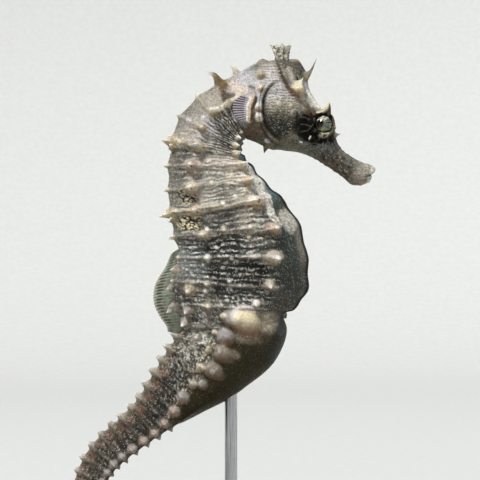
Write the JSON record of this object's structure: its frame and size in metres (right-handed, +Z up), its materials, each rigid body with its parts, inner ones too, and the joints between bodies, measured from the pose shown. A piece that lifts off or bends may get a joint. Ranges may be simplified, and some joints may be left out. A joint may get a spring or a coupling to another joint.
{
  "type": "seahorse",
  "caption": "Upright adult male seahorse with brood pouch, star-shaped coronet, ringed and spiny body and forward-curled tail, held over a round base by a rod.",
  "frame": {"origin": "on the underside of the stand's base, below the middle of the whole model's box", "axes": "+Z up; +X the way the snout points; the animal's right side faces -Y; the animal is symmetric about Y = 0"},
  "size_m": [0.1205, 0.092, 0.2126],
  "materials": {
    "skin": "satin",
    "pale_skin": "satin",
    "crown": "satin",
    "eye": "gloss",
    "fin": "satin",
    "wood": "satin",
    "steel": "satin"
  },
  "bodies": {
    "root": {"snout": "skin", "head": "skin", "coronet": "crown", "eye_left": "eye", "eye_right": "eye", "neck": "pale_skin", "trunk_upper": "skin", "trunk_middle": "skin", "trunk_lower": "skin", "brood_pouch": "skin", "tail_1": "skin", "tail_2": "skin", "tail_3": "skin", "tail_4": "skin", "tail_5": "skin", "tail_6": "skin", "tail_7": "skin", "dorsal_fin": "fin", "anal_fin": "fin", "pectoral_fin_left": "fin", "pectoral_fin_right": "fin", "stand_base": "wood", "stand_rod": "steel"}
  },
  "joints": []
}
